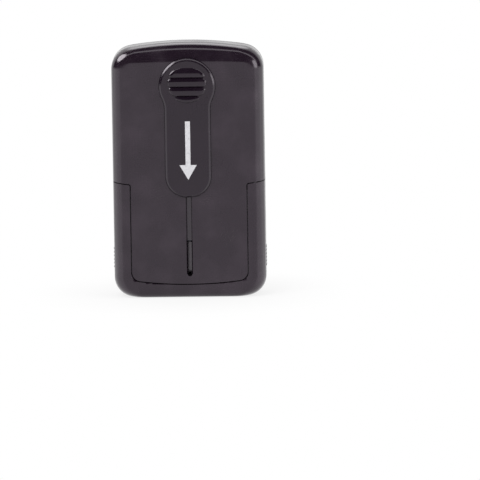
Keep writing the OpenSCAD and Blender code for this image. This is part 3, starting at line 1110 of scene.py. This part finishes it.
@dataclass
class ThumbSlider(Assembly):
    """The raised keyhole slider with its ridged rest, stem and printed arrow."""

    head_r: float = 8.6 * MM
    head_lift: float = 0.6 * MM
    strip_half: float = 7 * MM
    strip_r: float = 6.4 * MM
    strip_lift: float = 0.7 * MM
    neck_r: float = 8 * MM
    arc_steps: tuple[int, int, int] = (40, 10, 20)
    face_drop: float = 0.25 * MM
    thickness: float = 1.05 * MM
    slope_w: float = 0.75 * MM
    slope_d: float = 0.7 * MM
    slope_edges: Span = (0.1 * MM, 0.28 * MM)
    slope_steps: int = 4
    rim_turn: float = math.radians(30)
    rim_gap: float = 0.005 * MM
    rest_drop: float = 7 * MM
    rest_r: float = 5.95 * MM
    rest_sink: float = 0.02 * MM
    rest_gap: float = 0.001 * MM
    rest_cells: int = 120
    valleys: tuple[float, ...] = (-3.95 * MM, -1.17 * MM, 1.61 * MM, 4.1 * MM)
    brow_z: float = 3.08 * MM
    brow_share: float = 0.63
    ridge_r: float = 1.25 * MM
    ridge_lean: float = math.radians(60)
    stem_half: float = 0.5 * MM
    stem_rim: float = 1 * MM
    stem_edge: float = 0.12 * MM
    stem_steps: int = 2
    arrow_drop: float = 11.5 * MM
    arrow_neck: float = 10 * MM
    arrow_tip: float = 5.5 * MM
    arrow_half: float = 0.75 * MM
    arrow_head: float = 2.6 * MM
    arrow_t: float = 0.06 * MM
    arrow_rise: float = 0.02 * MM

    def __post_init__(self) -> None:
        """Takes the slider's place from its CAD node."""
        low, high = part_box("thumb_slider")
        self.face_y = low.y + self.face_drop
        self.low_z = low.z + self.strip_lift
        self.head_z = high.z + self.head_lift - self.head_r
        self.rest_z = high.z - self.rest_drop
        self.stem_back = high.y

    def build(self) -> None:
        """Makes the slider and its print."""
        form = self.plate()
        joined(form, self.rest(), self.stem())
        black, white = self.finishes.slider_black, self.finishes.print_white
        self.shop.piece("slider_grip", form, Body.SLIDER, Slot.GLOSS_BLACK, black, "thumb_slider")
        self.shop.piece("slider_arrow", self.arrow(), Body.SLIDER, Slot.GLOSS_BLACK, white)

    def plate(self) -> Form:
        """Keyhole plate with a sloped edge.

        Returns:
            The plate's mesh.
        """
        neck_x = self.strip_half + self.neck_r
        drop = leg(self.head_r + self.neck_r, neck_x)
        lean = math.degrees(math.atan2(drop, neck_x))
        strip_z = self.low_z + self.strip_r
        line = Outline(0.0, self.head_z + self.head_r)
        line.arc(0.0, self.head_z, 90 + lean, self.arc_steps[0])
        line.arc(neck_x, self.head_z - drop, -lean, self.arc_steps[1])
        line.run(self.strip_half, strip_z)
        line.arc(self.strip_half - self.strip_r, strip_z, 90, self.arc_steps[2])
        line.run(0.0, self.low_z)
        waist = self.face_y + self.slope_d
        form = line.prism(waist, self.face_y + self.thickness)
        face = min(form.faces, key=lambda item: item.calc_center_median().y)
        bmesh.ops.inset_region(form, faces=[face], thickness=self.slope_w, depth=self.slope_d,
                               use_even_offset=True)
        for y, width in zip((self.face_y, waist), self.slope_edges):
            rim = [edge for edge in sharp_edges(form, self.rim_turn)
                   if all(abs(vert.co.y - y) < self.rim_gap for vert in edge.verts)]
            rounded(form, rim, width, self.slope_steps)
        return form

    def rest(self) -> Form:
        """Round rest of four ridges that stands on the plate's head.

        Returns:
            The rest's mesh.
        """
        centre = Vector((0, self.face_y + self.rest_sink, self.rest_z))
        form = made(bmesh.ops.create_grid, x_segments=self.rest_cells, y_segments=self.rest_cells,
                    size=self.rest_r, matrix=Matrix.Translation(centre) @ Matrix.Rotation(QUARTER, 4, "X"))
        bare = [face for face in form.faces
                if all(self.ridge_rise(vert.co - centre) <= 0 for vert in face.verts)]
        bmesh.ops.delete(form, geom=bare, context="FACES")
        thickened(form, self.thickness / 2)
        for vert in form.verts:
            if abs(vert.co.y - centre.y) < self.rest_gap:
                vert.co.y -= self.ridge_rise(vert.co - centre)
        bmesh.ops.recalc_face_normals(form, faces=form.faces[:])
        return form

    def ridge_rise(self, place: Vector) -> float:
        """Height of the round-shouldered ridges above the plate's face.

        Args:
            place: place from the rest's middle.

        Returns:
            The height.
        """
        shoulder = self.ridge_r * math.sin(self.ridge_lean)
        from_rim = max(0.0, shoulder - self.rest_r + math.hypot(place.x, place.z))
        height = place.z - max(0.0, place.z - self.brow_z) * (1 - self.brow_share)
        from_valley = max(0.0, shoulder - min(abs(height - valley) for valley in self.valleys))
        outward = math.hypot(from_rim, from_valley)
        if outward >= shoulder or height > self.valleys[-1]:
            return 0.0
        return leg(self.ridge_r, outward) - self.ridge_r * math.cos(self.ridge_lean)

    def stem(self) -> Form:
        """Thin stem that passes through the slot.

        Returns:
            The stem's mesh.
        """
        low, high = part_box("slider_keeper")
        form = block((-self.stem_half, self.face_y + self.thickness / 2, low.z + self.stem_rim),
                     (self.stem_half, self.stem_back, high.z - self.stem_rim))
        rounded(form, form.edges[:], self.stem_edge, self.stem_steps)
        return form

    def arrow(self) -> Form:
        """Plain printed arrow that points down the strip.

        Returns:
            The arrow's thin mesh.
        """
        top, neck = self.rest_z - self.arrow_drop, self.low_z + self.arrow_neck
        line = Outline(0.0, top)
        line.run(self.arrow_half, top).run(self.arrow_half, neck)
        line.run(self.arrow_head, neck).run(0.0, self.low_z + self.arrow_tip)
        form = line.mirrored()
        bmesh.ops.triangle_fill(form, edges=form.edges[:], use_beauty=True)
        bmesh.ops.translate(form, verts=form.verts[:], vec=(0, self.face_y - self.arrow_rise, 0))
        thickened(form, self.arrow_t)
        return form


@dataclass(frozen=True)
class WireSpring:
    """A wound wire spring with a straight leg at each end, made on the right and mirrored to the left."""

    name: str
    body: Body
    pin: str
    coil_r: float
    curls: float
    leg_end: float
    leg_up: float = 6 * MM
    wire_d: float = 0.45 * MM
    pitch: float = 0.95 * MM
    steps: int = 24
    sides: int = 12

    def form(self, side: str) -> Form:
        """Winds the wire round its pin.

        Args:
            side: left or right.

        Returns:
            The spring's mesh.
        """
        centre = sum(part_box(self.pin), Vector()) / 2
        centre.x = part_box(f"{self.name}_right")[0].x + self.wire_d / 2
        start = Matrix.Translation(centre + Vector((0, -self.coil_r, self.leg_up)))
        form = made(bmesh.ops.create_circle, cap_ends=False, segments=self.sides, radius=self.wire_d / 2,
                    matrix=start)
        ring = raised(form, form.edges[:], -self.leg_up)
        verts = list({vert for edge in ring for vert in edge.verts})
        coil = bmesh.ops.spin(form, geom=verts + ring, cent=centre, axis=(1, 0, 0),
                              dvec=(self.pitch / self.steps, 0, 0), angle=2 * math.pi * self.curls,
                              steps=round(self.curls * self.steps), use_duplicate=False)
        raised(form, only(Edge, coil["geom_last"]), self.leg_end)
        bmesh.ops.holes_fill(form, edges=form.edges[:], sides=0)
        if side == "left":
            bmesh.ops.scale(form, verts=form.verts[:], vec=(-1, 1, 1))
        bmesh.ops.recalc_face_normals(form, faces=form.faces[:])
        return form


@dataclass
class Springs(Assembly):
    """The four wire springs."""

    kinds: tuple[WireSpring, ...] = (
        WireSpring("plate_spring", Body.SLIDER, "plate_pivot_pin", 1.35 * MM, 4.5, 5 * MM),
        WireSpring("tray_spring", Body.CASE, "tray_hinge_pin", 1.2 * MM, 4.0, -3.2 * MM),
    )

    def build(self) -> None:
        """Winds the plate's and the tray's springs on both sides."""
        for side in ("left", "right"):
            for spring in self.kinds:
                node = f"{spring.name}_{side}"
                form = spring.form(side)
                self.shop.piece(f"{node}_wire", form, spring.body, Slot.STEEL, self.finishes.steel, node)


@dataclass
class SoftLayers(Assembly):
    """The soft layers: the plate's foam and paper, and the tray's felt and woven cover."""

    foam_edge: float = 0.06 * MM
    paper_edge: float = 0.03 * MM
    felt_edge: float = 0.4 * MM
    cover_edge: float = 0.12 * MM
    cover_crown: float = 0.14 * MM
    crown_power: int = 6
    edge_steps: int = 3
    cells: tuple[int, int, int] = (24, 1, 18)

    def build(self) -> None:
        """Makes the four layers."""
        coats = self.finishes
        form = self.slab("adhesive_foam", self.foam_edge)
        foam = self.shop.piece("plate_foam", form, Body.PLATE, Slot.FOAM, coats.foam, "adhesive_foam")
        form = self.slab("release_liner", self.paper_edge)
        liner = self.shop.piece("plate_paper", form, Body.PLATE, Slot.LINER_YELLOW, coats.liner,
                                "release_liner")
        self.flat("release_liner")
        form = self.slab("ink_felt", self.felt_edge)
        felt = self.shop.piece("pad_core", form, Body.TRAY, Slot.INK_FELT, coats.felt, "ink_felt")
        form = self.slab("ink_cover", self.cover_edge, self.cover_crown)
        cover = self.shop.piece("pad_cover", form, Body.TRAY, Slot.INK_COVER, coats.cover, "ink_cover")
        self.flat("ink_cover")

    def flat(self, node: str) -> Span:
        """Width and length of a CAD sheet."""
        low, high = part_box(node)
        return high.x - low.x, high.z - low.z

    def slab(self, node: str, edge: float, crown: float = 0.0) -> Form:
        """A slab with rounded edges and a crowned front in the space of a CAD node.

        Args:
            node: the CAD node.
            edge: rounding of the edges.
            crown: how far the front's rim is drawn back from its middle.

        Returns:
            The slab's mesh.
        """
        low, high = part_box(node)
        middle, size = (low + high) / 2, high - low
        form = block(low, high)
        rounded(form, form.edges[:], edge, self.edge_steps)
        for axis, count in enumerate(self.cells):
            for step in range(1, count):
                place = low.copy()
                place[axis] += size[axis] * step / count
                bmesh.ops.bisect_plane(form, geom=form.verts[:] + form.edges[:] + form.faces[:],
                                       plane_co=place, plane_no=Matrix.Identity(3)[axis])
        for vert in form.verts:
            if vert.co.y < middle.y:
                across = abs(vert.co.x - middle.x) / (size.x / 2)
                along = abs(vert.co.z - middle.z) / (size.z / 2)
                vert.co.y += crown * max(across, along) ** self.crown_power
        return form


@dataclass
class PhotoCamera:
    """The camera, set so that the closed stamp lies where the photograph has it."""

    frame_px: int = 480
    metres_per_px: float = 0.3026 * MM
    foot_px: Span = (190.4, 297.9)
    roll: float = math.radians(0.9)
    azimuth: float = math.radians(1.5)
    elevation: float = math.radians(8)
    distance: float = 3.0
    nearest: float = 0.01
    sensor: float = 36.0

    def build(self) -> None:
        """Makes the camera and gives it to the scene."""
        turn = (Matrix.Rotation(self.azimuth, 4, "Z") @ Matrix.Rotation(QUARTER - self.elevation, 4, "X")
                @ Matrix.Rotation(-self.roll, 4, "Z"))
        foot = Matrix.Translation((0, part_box("front_shell")[0].y, 0))
        middle = self.frame_px / 2
        shift = Vector((middle - self.foot_px[0], self.foot_px[1] - middle, 0)) * self.metres_per_px
        shift.z = self.distance
        data = bpy.data.cameras.new("photo camera")
        data.sensor_width = self.sensor
        data.lens = self.sensor * self.distance / (self.frame_px * self.metres_per_px)
        data.clip_start = self.nearest
        camera = bpy.data.objects.new("photo camera", data)
        camera.matrix_world = foot @ turn @ Matrix.Translation(shift)
        bpy.context.scene.collection.objects.link(camera)
        bpy.context.scene.camera = camera


@dataclass(frozen=True)
class Card:
    """A soft light card, seen in gloss, towards a direction."""

    towards: Triple
    inner: float
    outer: float
    strength: float

    def light(self, graph: Graph, direction: Socket) -> Socket:
        """Light that the card sends from a direction."""
        facing = graph.vector("DOT_PRODUCT", direction, Vector(self.towards).normalized())
        return graph.between(facing, math.cos(self.outer), math.cos(self.inner)) * self.strength


@dataclass(frozen=True)
class Strip:
    """A thin overhead strip from left to right, seen in gloss."""

    elevation: float
    half_width: float
    strength: float
    core: float = 0.5
    rise: Span = (0.2, 0.4)

    def light(self, graph: Graph, direction: Socket) -> Socket:
        """Light that the strip sends from a direction.

        Args:
            graph: the world's tree.
            direction: the direction that is looked in.

        Returns:
            The strip's light.
        """
        turn = math.radians(self.elevation)
        off = graph.vector("DOT_PRODUCT", direction, (0, math.sin(turn), math.cos(turn)))
        edge = math.sin(math.radians(self.half_width))
        _, _, up = graph.parts(direction)
        across = 1 - graph.between(off.size(), edge * self.core, edge)
        return across * graph.between(up, *self.rise) * self.strength


@dataclass(frozen=True)
class Lamp:
    """A soft square lamp that faces the stamp."""

    name: str
    place: Triple
    power: float
    size: float = 0.5
    aim: Triple = (0, 0, 0.04)

    def build(self) -> None:
        """Hangs the lamp."""
        data = bpy.data.lights.new(self.name, "AREA")
        data.size = self.size
        data.energy = self.power
        lamp = bpy.data.objects.new(self.name, data)
        lamp.location = self.place
        lamp.rotation_euler = (Vector(self.aim) - Vector(self.place)).to_track_quat("-Z", "Y").to_euler()
        lamp.visible_glossy = False
        bpy.context.scene.collection.objects.link(lamp)


@dataclass
class Studio:
    """Pale floor, white surroundings, soft cards and two lamps."""

    level: float = 0.6
    gloom: float = 0.015
    horizon: Span = (-3.5, 1.0)
    backdrop: Span = (0.45, 0.62)
    floor_half: float = 1.2
    floor_cloud: float = 40 * MM
    floor_tones: tuple[Triple, Triple] = ((0.9, 0.9, 0.9), (0.94, 0.94, 0.94))
    floor_white: float = 0.8
    shadow_reach: Span = (15 * MM, 55 * MM)
    panel_edges: Span = (60.0, 70.0)
    panel_back: Span = (0.5, 0.7)
    panel_gains: Span = (0.42, 0.45)
    cards: tuple[Card | Strip, ...] = (
        Card((-0.75, 0.1, 0.65), math.radians(15), math.radians(23), 9.0),
        Card((0.93, -0.28, 0.14), math.radians(10), math.radians(18), 5.0),
        Card((0, 0.75, 0.66), math.radians(6), math.radians(19), 2.0),
        Strip(84, 7.0, 2.2),
    )
    lamps: tuple[Lamp, ...] = (
        Lamp("key lamp", (-0.35, -0.5, 0.75), 3.4),
        Lamp("fill lamp", (0.6, -0.25, 0.4), 1.6),
    )

    def build(self) -> None:
        """Makes the world, the floor and the lamps."""
        self.world()
        self.floor()
        for lamp in self.lamps:
            lamp.build()
        bpy.context.scene.view_settings.view_transform = "Standard"

    def seen(self, graph: Graph) -> tuple[Socket, Socket]:
        """1 for the camera's rays, and 1 for glossy and transmission rays."""
        camera, gloss, through = (graph.node("ShaderNodeLightPath", output=f"Is {name} Ray")
                                  for name in ("Camera", "Glossy", "Transmission"))
        return camera, gloss.larger(through)

    def sines(self, angles: Span) -> list[float]:
        """Sines of angles in degrees."""
        return [math.sin(math.radians(angle)) for angle in angles]

    def world(self) -> None:
        """White for the camera, a white backdrop and cards for gloss, and a plain level for the rest."""
        world = bpy.data.worlds.new("studio")
        world.use_nodes = True
        bpy.context.scene.world = world
        graph = Graph(world.node_tree)
        direction = graph.node("ShaderNodeTexCoord", output="Generated")
        _, back, up = graph.parts(direction)
        below = 1 - graph.between(up, *self.sines(self.horizon))
        white = below.larger(graph.between(back, *self.backdrop))
        shine = self.gloom + white + sum(card.light(graph, direction) for card in self.cards)
        camera, gloss = self.seen(graph)
        strength = self.level + (shine - self.level) * gloss
        strength = strength + (1.0 - strength) * camera
        shader = graph.node("ShaderNodeBackground", {"Color": WHITE, "Strength": strength})
        graph.node("ShaderNodeOutputWorld", {"Surface": shader})

    def floor(self) -> None:
        """Pale matte floor that fades into the white surroundings."""
        form = made(bmesh.ops.create_grid, x_segments=2, y_segments=2, size=self.floor_half)
        floor = placed("floor", form)
        finish = Finish("pale floor")
        shade = finish.noise(finish.place(), self.floor_cloud, 3.0)
        matte = finish.node("ShaderNodeBsdfDiffuse", {"Color": finish.tint(shade, *self.floor_tones)})
        camera, gloss = self.seen(finish)
        across, back, _ = finish.parts(finish.vector("NORMALIZE", finish.place(), output="Vector"))
        edges = self.sines(self.panel_edges)
        panel = (finish.between(across * -1, *edges) * self.panel_gains[0]
                 + finish.between(across, *edges) * self.panel_gains[1])
        panel = panel * (1 - finish.between(back, *self.panel_back)) * gloss
        white = finish.node("ShaderNodeEmission", {"Color": WHITE, "Strength": 1.0 + panel})
        away = finish.between(finish.vector("LENGTH", finish.place()), *self.shadow_reach)
        fade = (self.floor_white + away * (1 - self.floor_white)) * camera.larger(gloss)
        shader = finish.node("ShaderNodeMixShader", {0: fade, 1: matte, 2: white})
        finish.node("ShaderNodeOutputMaterial", {"Surface": shader})
        floor.data.materials.append(finish.material)


def main() -> None:
    """Builds the camera, the stamp's pieces and the studio."""
    logging.basicConfig(level=logging.INFO, format="%(message)s")
    PhotoCamera().build()
    finishes, shop = Finishes(), Shop()
    Case(finishes, shop, CaseForm()).build()
    ThumbSlider(finishes, shop).build()
    Springs(finishes, shop).build()
    SoftLayers(finishes, shop).build()
    Studio().build()


if __name__ == "__main__":
    main()
